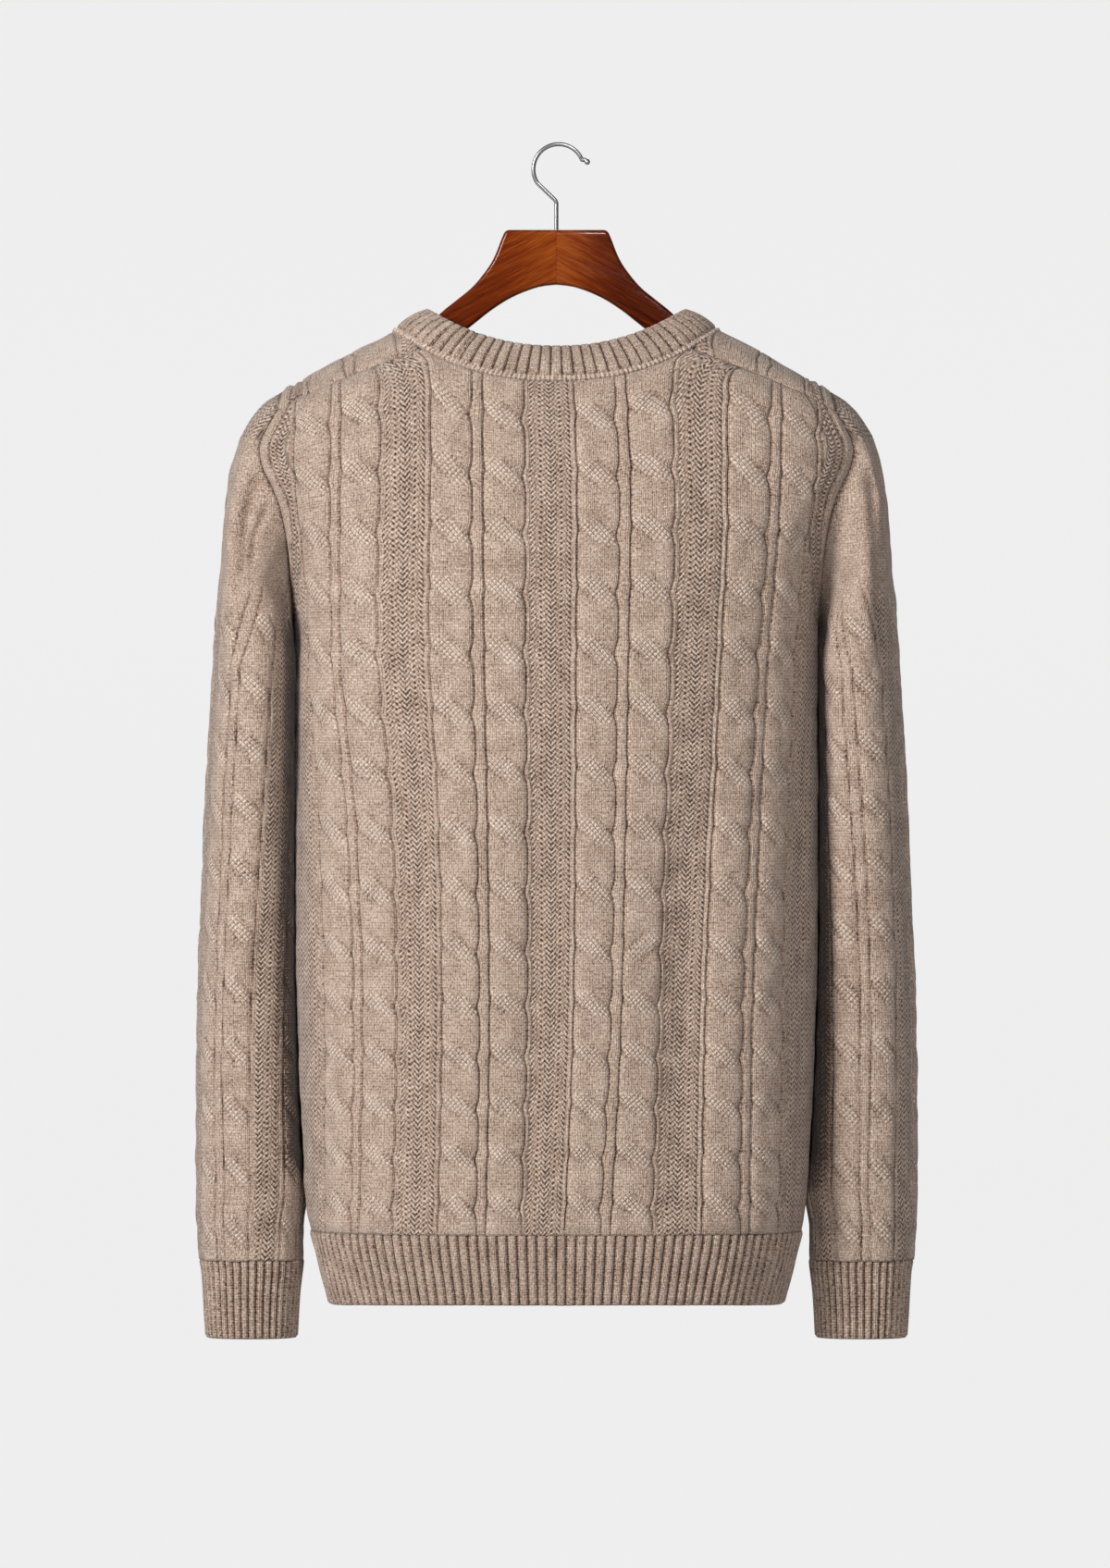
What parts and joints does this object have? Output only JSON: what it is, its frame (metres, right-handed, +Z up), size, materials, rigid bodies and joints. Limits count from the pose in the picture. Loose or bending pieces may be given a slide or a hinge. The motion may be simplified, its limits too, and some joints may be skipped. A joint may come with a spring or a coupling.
{
  "type": "cable knit sweater on a wooden hanger",
  "caption": "Crew-neck cable knit wool sweater, filled out as when worn, on a flat wooden hanger with a wire hook.",
  "frame": {"origin": "inner top of the hook's bend, where it rests on a rail", "axes": "+Z up, +Y towards the front of the garment, +X to the right as seen from its back"},
  "size_m": [0.5189, 0.2525, 0.8525],
  "materials": {
    "knit": "matt melange wool in cables and moss stitch",
    "rib": "matt melange wool in rib",
    "wood": "clear lacquer over red-brown stain",
    "steel": "bright nickel plate"
  },
  "bodies": {
    "root": {"back_panel": "knit", "front_panel": "knit", "sleeve_left": "knit", "sleeve_right": "knit", "cuff_left": "rib", "cuff_right": "rib", "hem_rib": "rib", "collar": "rib", "hanger_wood": "wood", "hanger_hook": "steel"}
  },
  "joints": []
}
